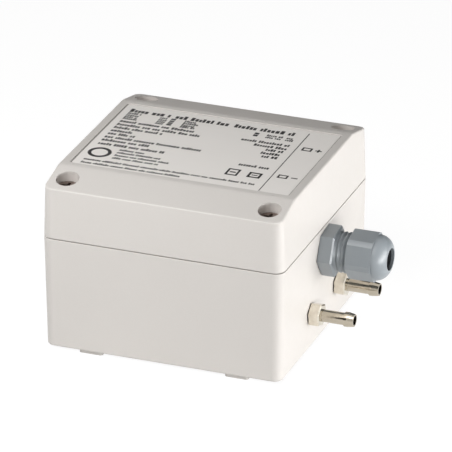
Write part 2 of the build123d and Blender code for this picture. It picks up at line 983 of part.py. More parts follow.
# Filter capacitor and amplifier chip
with BuildPart() as capacitor:
    round_bars(
        level_plane(board_top_z), capacitor_radius, capacitor_height, [(terminal_x, capacitor_y)]
    )
    fillet(capacitor.edges().group_by(Axis.Z)[-1], capacitor_round)

chip_leg_xs = [
    terminal_x + (number - (chip_leg_count - 1) / 2) * chip_leg_pitch
    for number in range(chip_leg_count)
]

with BuildPart() as amplifier_chip:
    boxes(
        level_plane(board_top_z), chip_length, chip_width, chip_height, [(terminal_x, chip_y)]
    )
    chamfer(amplifier_chip.edges().group_by(Axis.Z)[-1], chip_chamfer)
    boxes(
        level_plane(board_top_z),
        chip_leg_width,
        chip_span,
        chip_leg_height,
        [(leg_x, chip_y) for leg_x in chip_leg_xs],
    )

# Labels and files
pieces = {
    "base_housing": base_housing,
    "cover": cover,
    "cover_gasket": cover_gasket,
    "label_film": label_film,
    "screw_inserts": screw_inserts,
    **cover_screws,
    "gland_body": gland_body,
    "gland_wall_seal": gland_wall_seal,
    "gland_locknut": gland_locknut,
    "gland_cable_seal": gland_cable_seal,
    "gland_cap": gland_cap,
    **hose_nozzles,
    "nozzle_wall_seals": nozzle_wall_seals,
    "nozzle_locknuts": nozzle_locknuts,
    "circuit_board": circuit_board,
    "board_screws": board_screws,
    "pressure_sensor": pressure_sensor,
    **sensor_hoses,
    "terminal_block": terminal_block,
    **terminal_screws,
    **trimmer_bodies,
    **trimmer_rotors,
    "pin_header": pin_header,
    "header_pins": header_pins,
    "selection_link": selection_link,
    "capacitor": capacitor,
    "amplifier_chip": amplifier_chip,
}
os.makedirs("parts", exist_ok=True)
for label, piece in pieces.items():
    piece.part.label = label
    export_step(piece.part, f"parts/{label}.step")
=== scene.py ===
import json
from math import cos, pi, radians, sin, tau
from random import Random

import bmesh
import bpy
from mathutils import Matrix, Vector


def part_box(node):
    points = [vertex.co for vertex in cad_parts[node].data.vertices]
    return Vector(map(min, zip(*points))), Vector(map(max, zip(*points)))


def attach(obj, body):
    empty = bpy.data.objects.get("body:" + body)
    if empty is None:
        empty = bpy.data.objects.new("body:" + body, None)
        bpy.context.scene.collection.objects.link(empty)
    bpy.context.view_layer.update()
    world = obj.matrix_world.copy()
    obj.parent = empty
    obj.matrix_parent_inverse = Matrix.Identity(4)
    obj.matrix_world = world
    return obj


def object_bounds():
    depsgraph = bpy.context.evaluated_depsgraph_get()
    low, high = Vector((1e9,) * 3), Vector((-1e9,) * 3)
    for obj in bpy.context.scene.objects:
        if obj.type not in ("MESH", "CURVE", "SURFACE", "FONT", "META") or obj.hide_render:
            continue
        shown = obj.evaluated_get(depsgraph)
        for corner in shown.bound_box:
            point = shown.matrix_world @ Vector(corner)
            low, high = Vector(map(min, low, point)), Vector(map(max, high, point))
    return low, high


# Looks of the pressure transmitter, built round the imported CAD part. All sizes are in
# metres and in the part's own frame: X to the gland, Y to the back and Z up.

MM = 0.001

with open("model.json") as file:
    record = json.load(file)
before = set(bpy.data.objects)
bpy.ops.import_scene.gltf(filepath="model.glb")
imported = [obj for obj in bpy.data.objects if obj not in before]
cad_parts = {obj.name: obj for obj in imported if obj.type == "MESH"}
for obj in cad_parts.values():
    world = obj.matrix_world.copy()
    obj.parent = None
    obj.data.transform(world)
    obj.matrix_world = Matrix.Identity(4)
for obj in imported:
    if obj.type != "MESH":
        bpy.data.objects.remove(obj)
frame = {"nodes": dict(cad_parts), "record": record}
scene = bpy.context.scene
nodes = frame["nodes"]
start_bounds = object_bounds()

# Camera, as fitted to the photograph
camera_yaw = radians(20.569)
camera_pitch = radians(24.644)
camera_distance = 1666.56 * MM
camera_aim = Vector((0, 0, 28.6 * MM))
camera_shift = (-6.2 * MM, -3.313 * MM)
camera_lens = 408.66
camera_sensor = 36.0

# Printed label
print_lift = 0.01 * MM
print_thickness = 0.02 * MM
text_height = 1.75 * MM
title_height = 2.6 * MM
small_height = 1.35 * MM
rule_width = 0.3 * MM
# Width of the strips of painted shade in the gaps beside the label film
gap_shade_width = 0.33 * MM

# Places on the label, in millimetres
left_margin = 2.4
column_end = 24.4
ring_place = (-31.4, -14.4)
ring_radii = (2.7, 3.9)
dividing_rule_x = 26.9
port_frame_x = 30.4
port_frame_size = (3.4, 2.6)
port_sign_x = 34.3
sign_length = 2.2
sign_line = 0.6

# Soft lights, and dark cards that only glossy surfaces show
lamp_aim = Vector((0, 0, 30 * MM))
near_lamp = 350 * MM
far_lamp = 900 * MM
near_box_size = 200 * MM
strip_height = 55 * MM
near_strip_width = 300 * MM
far_strip_width = 600 * MM
soft_light = 0.1
floor_half_size = 2.5
floor_gap = 0.02 * MM
floor_glow = 0.93

# Small parts that the frame's boxes don't give
screw_shaft_radius = 2.0 * MM
screw_thread_pitch = 0.7 * MM
screw_thread_height = 0.07 * MM
screw_thread_start = 0.7 * MM
screw_thread_end = 16 * MM
ridge_root = 0.02 * MM
wire_entry = 3.2 * MM
wire_entry_height = 3.4 * MM
wire_entry_depth = 5.6 * MM
terminal_pitch = 5.08 * MM
cage_wall = 0.35 * MM
cage_gap = 0.05 * MM
cage_setback = 0.4 * MM
lead_pitch = 2.54 * MM
lead_width = 0.7 * MM
lead_thickness = 0.25 * MM
lead_foot = 1.0 * MM
lead_heel = 0.3 * MM
lead_knee = 0.2 * MM
lead_count = 6
lead_gap = 0.9 * MM
lead_lift = 0.02 * MM
lead_rise = 1.6 * MM
lead_inward = 1.0 * MM
sensor_cap_inset = 9.2 * MM
track_thickness = 0.04 * MM
track_taper = 0.02 * MM
track_count = 13
track_margin = 3.5
nozzle_tube_and_barb = 11.0 * MM
chip_resistor = Vector((2.0, 1.25, 0.5)) * MM


def span(name):
    """Lowest and highest corner of a CAD node."""
    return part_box(name)


# Distance between the bands of Blender's wave texture at scale 1, rounded
wave_period = 0.3


class Finish:
    """A procedural material, built up step by step on one Principled shader."""

    def __init__(self, name, colour, roughness, metallic=0.0):
        self.material = bpy.data.materials.new(name)
        self.material.use_nodes = True
        self.tree = self.material.node_tree
        self.shader = self.tree.nodes["Principled BSDF"]
        self.colour = (*colour, 1)
        self.roughness = roughness
        self.normal = None
        self.shader.inputs["Base Color"].default_value = self.colour
        self.shader.inputs["Roughness"].default_value = roughness
        self.shader.inputs["Metallic"].default_value = metallic

    def node(self, kind, settings=None, **inputs):
        """Adds a node and sets or links its inputs."""
        made = self.tree.nodes.new(kind)
        for key, value in (settings or {}).items():
            setattr(made, key, value)
        for key, value in inputs.items():
            socket = made.inputs[key.replace("_", " ")]
            if isinstance(value, bpy.types.NodeSocket):
                self.tree.links.new(value, socket)
            else:
                socket.default_value = value
        return made

    def place(self, stretch=(1, 1, 1)):
        """Rest coordinates of the piece, which keep the pattern on it as it moves."""
        coordinates = self.node("ShaderNodeTexCoord").outputs["Object"]
        return self.node("ShaderNodeMapping", Vector=coordinates, Scale=stretch).outputs["Vector"]

    def noise(self, size, detail=3.0, stretch=(1, 1, 1)):
        """Noise between 0 and 1 with marks of about this size."""
        made = self.node(
            "ShaderNodeTexNoise", Vector=self.place(stretch), Scale=1 / size, Detail=detail
        )
        return made.outputs["Fac"]

    def waves(self, size, axis, distortion=0.0):
        """Even ridges across an axis, as a cutting tool leaves them."""
        settings = {"wave_type": "BANDS", "bands_direction": axis}
        made = self.node(
            "ShaderNodeTexWave",
            settings,
            Vector=self.place(),
            Scale=wave_period / size,
            Distortion=distortion,
        )
        return made.outputs["Fac"]

    def remap(self, value, low, high, from_low=0.3, from_high=0.7):
        """Stretches a value between two limits to a new range."""
        made = self.node("ShaderNodeMapRange", Value=value)
        made.inputs["From Min"].default_value = from_low
        made.inputs["From Max"].default_value = from_high
        made.inputs["To Min"].default_value = low
        made.inputs["To Max"].default_value = high
        return made.outputs["Result"]

    def tint(self, value, colour, amount, **limits):
        """Blends the colour towards another one where the value is high."""
        mix = self.node("ShaderNodeMix", {"data_type": "RGBA"})
        factor = self.remap(value, 0.0, amount, **limits)
        self.tree.links.new(factor, mix.inputs[0])
        if isinstance(self.colour, bpy.types.NodeSocket):
            self.tree.links.new(self.colour, mix.inputs[6])
        else:
            mix.inputs[6].default_value = self.colour
        mix.inputs[7].default_value = (*colour, 1)
        self.colour = mix.outputs[2]
        self.tree.links.new(self.colour, self.shader.inputs["Base Color"])
        return self

    def gloss(self, value, change, **limits):
        """Lets the roughness wander by this much to each side."""
        rough = self.remap(value, self.roughness - change, self.roughness + change, **limits)
        self.tree.links.new(rough, self.shader.inputs["Roughness"])
        return self

    def soften(self, radius):
        """Rounds the look of sharp edges by this radius."""
        rounded = self.node("ShaderNodeBevel", {"samples": 4}, Radius=radius)
        self.normal = rounded.outputs["Normal"]
        self.tree.links.new(self.normal, self.shader.inputs["Normal"])
        return self

    def bump(self, value, depth, strength=1.0):
        """Raises the surface by up to this depth where the value is high."""
        made = self.node("ShaderNodeBump", Height=value, Distance=depth, Strength=strength)
        if self.normal:
            self.tree.links.new(self.normal, made.inputs["Normal"])
        self.normal = made.outputs["Normal"]
        self.tree.links.new(self.normal, self.shader.inputs["Normal"])
        return self

    def wear(self, radius, colour, amount):
        """Rubs the colour towards another one along the edges."""
        rounded = self.node("ShaderNodeBevel", {"samples": 4}, Radius=radius)
        plain = self.node("ShaderNodeNewGeometry")
        match = self.node("ShaderNodeVectorMath", {"operation": "DOT_PRODUCT"})
        self.tree.links.new(rounded.outputs["Normal"], match.inputs[0])
        self.tree.links.new(plain.outputs["Normal"], match.inputs[1])
        patch = self.noise(radius * 3)
        turned = self.node("ShaderNodeMath", {"operation": "MULTIPLY"})
        edge = self.remap(match.outputs["Value"], 1.0, 0.0, from_low=0.8, from_high=0.99)
        self.tree.links.new(edge, turned.inputs[0])
        self.tree.links.new(self.remap(patch, 0.3, 1.0), turned.inputs[1])
        return self.tint(turned.outputs["Value"], colour, amount, from_low=0.0, from_high=1.0)

    def paint_gap_shade(self, distance, colour, amount):
        """Painted shade: darkens the colour in corners and narrow gaps, as ambient occlusion finds
        them.
        """
        shade = self.node("ShaderNodeAmbientOcclusion", {"samples": 6}, Distance=distance)
        return self.tint(shade.outputs["AO"], colour, amount, from_low=0.9, from_high=0.35)


def moulded(name, colour, roughness, grain, depth):
    """Plastic from a spark-eroded mould: fine grain, faint flow marks and rubbed edges."""
    darker = [0.9 * part for part in colour]
    paler = [part + 0.25 * (1 - part) for part in colour]
    finish = Finish(name, colour, roughness)
    finish.tint(finish.noise(22 * MM, 2), darker, 0.12)
    finish.tint(finish.noise(0.5 * MM, 3), darker, 0.16)
    finish.wear(0.25 * MM, paler, 0.3)
    finish.gloss(finish.noise(2.5 * MM, 4), 0.05)
    finish.bump(finish.noise(grain, 2), depth)
    return finish


def housing_plastic():
    finish = moulded("housing_plastic", (0.715, 0.683, 0.648), 0.46, 0.16 * MM, 0.006 * MM)
    # Painted shade: the colour darkens towards grey-brown in corners, gaps and the seam.
    return finish.paint_gap_shade(2.0 * MM, (0.45, 0.43, 0.40), 0.15)


def label_plastic():
    finish = Finish("label_plastic", (0.92, 0.885, 0.845), 0.6)
    finish.tint(finish.noise(14 * MM, 2), (0.84, 0.81, 0.78), 0.15)
    finish.tint(finish.noise(0.35 * MM, 4), (0.78, 0.76, 0.73), 0.14)
    finish.gloss(finish.noise(3 * MM, 3), 0.05)
    finish.bump(finish.noise(0.3 * MM, 3), 0.003 * MM)
    return finish.wear(0.12 * MM, (0.95, 0.95, 0.94), 0.5)


def printing_ink():
    finish = Finish("printing_ink", (0.018, 0.017, 0.017), 0.55)
    finish.tint(finish.noise(0.25 * MM, 3), (0.06, 0.057, 0.055), 0.5)
    return finish.bump(finish.noise(0.1 * MM), 0.002 * MM)


# Painted shade: the dark colour of the strips that stand for the shadow in the label's gaps.
def label_gap_shade_finish():
    finish = Finish("label_gap_shade", (0.26, 0.245, 0.23), 0.6)
    finish.tint(finish.noise(2 * MM, 4), (0.34, 0.32, 0.30), 0.6)
    return finish.bump(finish.noise(0.2 * MM), 0.01 * MM)


def rubber():
    finish = Finish("seal_rubber", (0.022, 0.022, 0.024), 0.72)
    finish.tint(finish.noise(1.5 * MM, 4), (0.06, 0.06, 0.06), 0.5)
    finish.gloss(finish.noise(0.8 * MM), 0.08)
    return finish.bump(finish.noise(0.15 * MM, 4), 0.01 * MM)


def gland_plastic():
    finish = moulded("gland_plastic", (0.26, 0.29, 0.312), 0.38, 0.2 * MM, 0.004 * MM)
    finish.shader.inputs["Specular IOR Level"].default_value = 0.9
    finish.tint(finish.noise(5 * MM, 3), (0.30, 0.325, 0.345), 0.3)
    # Painted shade: the colour turns near black in the neck grooves and other narrow gaps.
    return finish.paint_gap_shade(1.2 * MM, (0.05, 0.05, 0.05), 0.5)


def turned_metal(name, colour, dark, roughness, ridge, axis):
    """Metal with the fine ridges of the lathe, tarnish in patches and brighter edges."""
    finish = Finish(name, colour, roughness, metallic=1.0)
    finish.tint(finish.noise(1.6 * MM, 4), dark, 0.45)
    finish.wear(0.12 * MM, [min(1, 1.25 * part) for part in colour], 0.6)
    finish.gloss(finish.noise(0.9 * MM, 4), 0.06)
    finish.bump(finish.waves(ridge, axis, 0.4), 0.0012 * MM)
    return finish


def nozzle_nickel():
    """Nickel that is pale on the hexagon and browner on the tube and the barb; the brown is painted
    reflection, in place of the dark bands the tube mirrors.
    """
    colour, dark = (0.80, 0.755, 0.66), (0.50, 0.43, 0.33)
    finish = turned_metal("nozzle_nickel", colour, dark, 0.13, 0.12 * MM, "X")
    along = finish.node("ShaderNodeSeparateXYZ", Vector=finish.place()).outputs["X"]
    tube_start = span("front_hose_nozzle")[1].x - nozzle_tube_and_barb
    limits = {"from_low": tube_start - 0.1 * MM, "from_high": tube_start + 0.3 * MM}
    # Painted reflection: the tube and barb turn brown to stand for dark reflections.
    return finish.tint(along, (0.42, 0.37, 0.29), 0.8, **limits)


def insert_brass():
    colour, dark = (0.72, 0.53, 0.25), (0.45, 0.30, 0.13)
    return turned_metal("insert_brass", colour, dark, 0.3, 0.15 * MM, "Z")


def rotor_brass():
    colour, dark = (0.76, 0.60, 0.31), (0.50, 0.36, 0.16)
    return turned_metal("rotor_brass", colour, dark, 0.28, 0.12 * MM, "Z")


def pin_gold():
    finish = Finish("pin_gold", (0.84, 0.66, 0.32), 0.22, metallic=1.0)
    finish.tint(finish.noise(0.6 * MM), (0.6, 0.45, 0.2), 0.4)
    finish.gloss(finish.noise(0.4 * MM), 0.06)
    return finish.bump(finish.noise(0.1 * MM, stretch=(1, 1, 0.1)), 0.001 * MM)


def screw_steel():
    finish = Finish("screw_steel", (0.34, 0.28, 0.25), 0.36, metallic=1.0)
    finish.tint(finish.noise(0.7 * MM, 4), (0.13, 0.08, 0.065), 0.75)
    finish.wear(0.15 * MM, (0.7, 0.64, 0.58), 0.6)
    finish.gloss(finish.noise(0.4 * MM), 0.1)
    return finish.bump(finish.noise(0.12 * MM, 4), 0.004 * MM)


def bright_tin():
    finish = Finish("bright_tin", (0.74, 0.74, 0.73), 0.3, metallic=1.0)
    finish.tint(finish.noise(0.5 * MM, 4), (0.5, 0.5, 0.5), 0.5)
    finish.gloss(finish.noise(0.3 * MM), 0.1)
    return finish.bump(finish.noise(0.2 * MM, 3), 0.006 * MM)


def board_laminate():
    finish = Finish("board_laminate", (0.018, 0.115, 0.055), 0.32)
    finish.tint(finish.noise(9 * MM, 3), (0.03, 0.16, 0.08), 0.5)
    finish.gloss(finish.noise(0.8 * MM), 0.05)
    finish.bump(finish.waves(0.28 * MM, "X", 0.5), 0.004 * MM, 0.5)
    finish.bump(finish.waves(0.28 * MM, "Y", 0.5), 0.004 * MM, 0.5)
    return finish.wear(0.2 * MM, (0.45, 0.42, 0.22), 0.8)


def track_copper():
    finish = Finish("track_copper", (0.03, 0.19, 0.085), 0.3)
    finish.tint(finish.noise(1.2 * MM, 3), (0.05, 0.25, 0.12), 0.6)
    return finish.bump(finish.noise(0.3 * MM), 0.004 * MM)


def hose_silicone():
    finish = Finish("hose_silicone", (0.74, 0.74, 0.70), 0.35)
    finish.shader.inputs["Subsurface Weight"].default_value = 0.3
    finish.shader.inputs["Subsurface Radius"].default_value = (1.5 * MM, 1.3 * MM, 1.1 * MM)
    finish.tint(finish.noise(2 * MM), (0.62, 0.60, 0.54), 0.3)
    finish.gloss(finish.noise(0.6 * MM), 0.06)
    return finish.bump(finish.noise(0.8 * MM, 3, stretch=(0.1, 1, 1)), 0.01 * MM)


def small_plastic(name, colour, roughness=0.4):
    """Plastic of a small component, with edges that look rounded."""
    paler = [part + 0.2 * (1 - part) for part in colour]
    finish = Finish(name, colour, roughness)
    finish.tint(finish.noise(1.2 * MM, 4), paler, 0.15)
    finish.wear(0.15 * MM, paler, 0.5)
    finish.gloss(finish.noise(0.5 * MM), 0.06)
    finish.soften(0.1 * MM)
    return finish.bump(finish.noise(0.12 * MM, 3), 0.006 * MM)


def white_print():
    finish = Finish("white_print", (0.78, 0.78, 0.74), 0.6)
    finish.tint(finish.noise(0.3 * MM), (0.55, 0.58, 0.52), 0.5)
    return finish.bump(finish.noise(0.1 * MM), 0.004 * MM)


finishes = {
    "housing_plastic": housing_plastic(),
    "label_plastic": label_plastic(),
    "seal_rubber": rubber(),
    "insert_brass": insert_brass(),
    "screw_steel": screw_steel(),
    "gland_plastic": gland_plastic(),
    "nozzle_nickel": nozzle_nickel(),
    "board_laminate": board_laminate(),
    "sensor_plastic": small_plastic("sensor_plastic", (0.03, 0.03, 0.033), 0.5),
    "hose_silicone": hose_silicone(),
    "terminal_plastic": small_plastic("terminal_plastic", (0.03, 0.23, 0.10)),
    "trimmer_plastic": small_plastic("trimmer_plastic", (0.02, 0.10, 0.42), 0.3),
    "rotor_brass": rotor_brass(),
    "header_plastic": small_plastic("header_plastic", (0.02, 0.02, 0.02), 0.45),
    "pin_gold": pin_gold(),
    "link_plastic": small_plastic("link_plastic", (0.45, 0.025, 0.02), 0.35),
    "capacitor_sleeve": small_plastic("capacitor_sleeve", (0.015, 0.015, 0.07), 0.3),
    "printing_ink": printing_ink(),
    "label_gap_shade": label_gap_shade_finish(),
    "bright_tin": bright_tin(),
    "track_copper": track_copper(),
    "white_print": white_print(),
}


def finish_nodes():
    """Gives each CAD node the finish of its material slot."""
    for part in frame["record"]["subparts"]:
        mesh = nodes[part["node"]].data
        mesh.materials.clear()
        mesh.materials.append(finishes[part["material_slot"]].material)


def piece(name, shape, body, finish):
    """Turns a finished bmesh into an object that rides on a body."""
    mesh = bpy.data.meshes.new(name)
    bmesh.ops.recalc_face_normals(shape, faces=shape.faces)
    shape.to_mesh(mesh)
    shape.free()
    made = bpy.data.objects.new(name, mesh)
    scene.collection.objects.link(made)
    mesh.materials.append(finishes[finish].material)
    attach(made, body)


def block(shape, low, high, taper=0.0):
    """Adds a box between two corners, its top drawn in by the taper."""
    corners = [
        (low.x, low.y, low.z),
        (high.x, low.y, low.z),
        (high.x, high.y, low.z),
        (low.x, high.y, low.z),
        (low.x + taper, low.y + taper, high.z),
        (high.x - taper, low.y + taper, high.z),
        (high.x - taper, high.y - taper, high.z),
        (low.x + taper, high.y - taper, high.z),
    ]
    points = [shape.verts.new(corner) for corner in corners]
    shape.faces.new([points[number] for number in (3, 2, 1, 0)])
    shape.faces.new([points[number] for number in (4, 5, 6, 7)])
    for number in range(4):
        after = (number + 1) % 4
        shape.faces.new([points[side] for side in (number, after, after + 4, number + 4)])


def lathe(shape, profile, centre, steps=48):
    """Turns a closed outline of (radius, height) points about a vertical axis."""
    rings = []
    for step in range(steps):
        angle = tau * step / steps
        rings.append(
            [
                shape.verts.new(centre + Vector((r * cos(angle), r * sin(angle), z)))
                for r, z in profile
            ]
        )
    for step in range(steps):
        this, following = rings[step], rings[(step + 1) % steps]
        for number in range(len(profile)):
            after = (number + 1) % len(profile)
            shape.faces.new((this[number], following[number], following[after], this[after]))


def helix_ridge(shape, centre, radius, height, low, high, pitch, steps=28):
    """Winds a ridge with a triangular section round a vertical shaft."""
    turns = (high - low) / pitch
    count = int(turns * steps)
    half = Vector((0, 0, 0.4 * pitch))
    rings = []
    for step in range(count + 1):
        angle = tau * step / steps
        z = low + pitch * step / steps
        rise = height * min(1, step / steps, (count - step) / steps)
        out = Vector((cos(angle), sin(angle), 0))
        axis = Vector((centre.x, centre.y, z))
        rings.append(
            [
                shape.verts.new(axis + out * (radius - ridge_root) - half),
                shape.verts.new(axis + out * (radius + rise)),
                shape.verts.new(axis + out * (radius - ridge_root) + half),
            ]
        )
    for this, following in zip(rings, rings[1:]):
        for number in range(3):
            after = (number + 1) % 3
            shape.faces.new((this[number], this[after], following[after], following[number]))
    shape.faces.new(rings[0])
    shape.faces.new(list(reversed(rings[-1])))


label_low, label_high = span("label_film")
print_z = label_high.z + print_lift


def printed_block(shape, x0, x1, y0, y1):
    """Adds one flat printed mark to the label, its place given in millimetres."""
    low = Vector((x0 * MM, y0 * MM, print_z))
    high = Vector((x1 * MM, y1 * MM, print_z + print_thickness))
    block(shape, low, high)


def printed_row(shape, chance, x0, x1, y, height):
    """Adds a row of upright marks of uneven width, in groups, as print looks from afar."""
    x = x0
    size = height / MM
    while x < x1 - 0.3 * size:
        for number in range(chance.randint(3, 9)):
            stroke = size * chance.uniform(0.3, 0.5)
            if x + stroke > x1:
                break
            tall = size * chance.choice((0.72, 0.72, 0.8, 1.0))
            printed_block(shape, x, x + stroke, y - size / 2, y - size / 2 + tall)
            x += stroke + size * chance.uniform(0.1, 0.17)
        x += 0.4 * size


def printed_frame(shape, x, y, width, height, line):
    """Adds a plain outlined rectangle round a centre."""
    for side in (-1, 1):
        edge_x = x + side * (width - line) / 2
        printed_block(shape, edge_x - line / 2, edge_x + line / 2, y - height / 2, y + height / 2)
        edge_y = y + side * (height - line) / 2
        printed_block(shape, x - width / 2, x + width / 2, edge_y - line / 2, edge_y + line / 2)


def label_print():
    """Plain rows, blocks and signs where the label carries its print."""
    chance = Random(7)
    shape = bmesh.new()
    left, right = label_low.x / MM + left_margin, column_end
    for x0, x1 in ((left, -20.3), (-18.6, 0.1), (1.9, 23.6)):
        printed_row(shape, chance, x0, x1, 20.9, title_height)
    for row_y in (18.5, 16.9, 15.4, 14.0):
        for x0, x1 in ((left, -29.6), (-23.2, -20.4), (-14.6, -9.4)):
            printed_row(shape, chance, x0, x1, row_y, small_height)
        printed_block(shape, -19.4, -17.8, row_y - 0.5, row_y + 0.6)
    for row_y in (17.3, 15.7):
        printed_block(shape, 10.1, 11.6, row_y - 0.5, row_y + 0.8)
        printed_row(shape, chance, 14.4, 20.1, row_y, small_height)
        printed_row(shape, chance, 21.2, 23.9, row_y, small_height)
    list_rows = (
        (11.6, -8.2, 7.7),
        (8.9, -5.4, 13.0),
        (6.3, -17.0, 18.0),
        (3.6, -26.6, 17.3),
        (1.0, -25.2, 18.5),
        (-1.8, -1.0, right),
        (-4.4, -17.7, right),
        (-7.5, -11.6, 13.9),
    )
    for row_y, end, value_start in list_rows:
        printed_row(shape, chance, left, end, row_y, text_height)
        printed_row(shape, chance, value_start, right, row_y, text_height)
    for row_y, end in ((-10.4, -17.6), (-12.6, -10.7), (-14.8, -7.0), (-17.0, -9.8)):
        printed_row(shape, chance, -26.0, end, row_y, small_height)
    printed_row(shape, chance, left + 0.3, 24.5, -20.7, small_height)
    printed_row(shape, chance, left + 0.3, 0.6, -23.3, small_height)
    printed_frame(shape, 14.2, -14.0, 4.2, 5.0, 0.7)
    printed_frame(shape, 21.6, -14.0, 4.4, 4.0, 0.8)
    printed_block(shape, 13.2, 15.2, -14.4, -13.6)
    printed_block(shape, 20.6, 22.6, -14.3, -13.7)
    rule = rule_width / MM
    rule_low, rule_high = dividing_rule_x - rule / 2, dividing_rule_x + rule / 2
    printed_block(shape, rule_low, rule_high, -24.6, 23.2)
    for y, signs in ((11.0, (0, 90)), (-11.9, (0,))):
        printed_frame(shape, port_frame_x, y, *port_frame_size, sign_line)
        for turn in signs:
            long, wide = (sign_length, sign_line) if turn == 0 else (sign_line, sign_length)
            x0, x1 = port_sign_x - long / 2, port_sign_x + long / 2
            printed_block(shape, x0, x1, y - wide / 2, y + wide / 2)
    piece("label_print", shape, "cover", "printing_ink")


def label_gap_shade():
    """Dark strips in the narrow gaps at the label film's left and right: painted shade that stands
    for the shadow in these gaps.
    """
    shape = bmesh.new()
    low, high = label_low.z + 0.01 * MM, label_high.z - 0.05 * MM
    y0, y1 = label_low.y - gap_shade_width, label_high.y + gap_shade_width
    gaps = ((label_low.x - gap_shade_width, label_low.x), (label_high.x, label_high.x + gap_shade_width))
    for x0, x1 in gaps:
        block(shape, Vector((x0, y0, low)), Vector((x1, y1, high)))
    piece("label_gap_shade", shape, "cover", "label_gap_shade")


def label_ring():
    """Plain printed ring at the front left of the label."""
    shape = bmesh.new()
    inner, outer = (radius * MM for radius in ring_radii)
    profile = [(inner, 0), (outer, 0), (outer, print_thickness), (inner, print_thickness)]
    x, y = ring_place
    lathe(shape, profile, Vector((x * MM, y * MM, print_z)), steps=64)
    piece("label_ring", shape, "cover", "printing_ink")


def screw_threads():
    """Thread ridges on the shafts of the four cover screws."""
    for corner in ("front_left", "front_right", "rear_left", "rear_right"):
        low, high = span(f"{corner}_cover_screw")
        centre = (low + high) / 2
        shape = bmesh.new()
        helix_ridge(
            shape,
            centre,
            screw_shaft_radius,
            screw_thread_height,
            low.z + screw_thread_start,
            low.z + screw_thread_end,
            screw_thread_pitch,
        )
        piece(f"{corner}_screw_thread", shape, f"{corner}_screw", "screw_steel")


def terminal_cages():
    """Tinned clamp cages in the three wire entries of the terminal block."""
    low, high = span("terminal_block")
    shape = bmesh.new()
    for number in (-1, 0, 1):
        y = (low.y + high.y) / 2 + number * terminal_pitch
        z = low.z + wire_entry_height
        half = wire_entry / 2 - cage_gap
        for side in (-1, 1):
            inner, outer = half - cage_wall, half
            edges = sorted((y + side * inner, y + side * outer))
            block(
                shape,
                Vector((high.x - wire_entry_depth, edges[0], z - half)),
                Vector((high.x - cage_setback, edges[1], z + half)),
            )
            edges = sorted((z + side * inner, z + side * outer))
            block(
                shape,
                Vector((high.x - wire_entry_depth, y - half + cage_wall, edges[0])),
                Vector((high.x - cage_setback, y + half - cage_wall, edges[1])),
            )
    piece("terminal_cages", shape, "housing", "bright_tin")


def bent_lead(shape, foot, out, rise, inward):
    """Adds one bent lead: a foot on the board, a slope and a short run into the body."""
    side = Vector((-out.y, out.x, 0)) * lead_width / 2
    up = Vector((0, 0, 1))
    spine = [
        foot + out * lead_foot,
        foot + out * lead_heel,
        foot - out * lead_knee + up * rise,
        foot - out * (lead_knee + inward) + up * rise,
    ]
    rings = []
    for point in spine:
        rings.append(
            [
                shape.verts.new(point - side),
                shape.verts.new(point + side),
                shape.verts.new(point + side + up * lead_thickness),
                shape.verts.new(point - side + up * lead_thickness),
            ]
        )
    for this, following in zip(rings, rings[1:]):
        for number in range(4):
            after = (number + 1) % 4
            shape.faces.new((this[number], this[after], following[after], following[number]))
    shape.faces.new(rings[0])
    shape.faces.new(list(reversed(rings[-1])))


def sensor_leads():
    """Six bent leads on the left side of the pressure sensor."""
    low, high = span("pressure_sensor")
    y_middle = (low.y + high.y) / 2
    shape = bmesh.new()
    for number in range(lead_count):
        y = y_middle + (number - (lead_count - 1) / 2) * lead_pitch
        foot = Vector((low.x - lead_gap, y, low.z + lead_lift))
        bent_lead(shape, foot, Vector((-1, 0, 0)), lead_rise, lead_inward)
    piece("sensor_leads", shape, "housing", "bright_tin")


def sensor_cap_ring():
    """Raised ring and vent boss on the sensor's round cap."""
    low, high = span("pressure_sensor")
    centre = Vector((low.x + sensor_cap_inset, (low.y + high.y) / 2, high.z - 0.05 * MM))
    shape = bmesh.new()
    ring = [(5.6, 0), (6.4, 0), (6.3, 0.3), (5.7, 0.3)]
    boss = [(0.45, 0), (1.3, 0), (1.1, 0.5), (0.45, 0.5)]
    for profile in (ring, boss):
        lathe(shape, [(r * MM, z * MM) for r, z in profile], centre)
    piece("sensor_cap_ring", shape, "housing", "sensor_plastic")


def capacitor_top():
    """Scored aluminium top of the capacitor inside its shrunk sleeve."""
    low, high = span("capacitor")
    centre = Vector((*((low + high) / 2).xy, high.z))
    radius = (high.x - low.x) / 2
    shape = bmesh.new()
    low_rim, high_rim = -0.02 * MM, 0.05 * MM
    hole, disc_foot, disc_top = 0.02 * MM, 0.74 * radius, 0.72 * radius
    disc = [(hole, low_rim), (disc_foot, low_rim), (disc_top, high_rim), (hole, high_rim)]
    lathe(shape, disc, centre)
    score_half, score_line = 0.55 * radius, 0.06 * MM
    for turn in (0, pi / 3, 2 * pi / 3):
        start = len(shape.verts)
        block(
            shape,
            Vector((-score_half, -score_line, 0.04 * MM)),
            Vector((score_half, score_line, 0.09 * MM)),
            0.02 * MM,
        )
        shape.verts.ensure_lookup_table()
        move = Matrix.Translation(centre) @ Matrix.Rotation(turn, 4, "Z")
        bmesh.ops.transform(shape, matrix=move, verts=shape.verts[start:])
    piece("capacitor_top", shape, "housing", "bright_tin")


board_low, board_high = span("circuit_board")


def on_board(x, y, z=0.0):
    """A place on the board's top face, from its left front corner, in millimetres."""
    return Vector((board_low.x + x * MM, board_low.y + y * MM, board_high.z + z * MM))


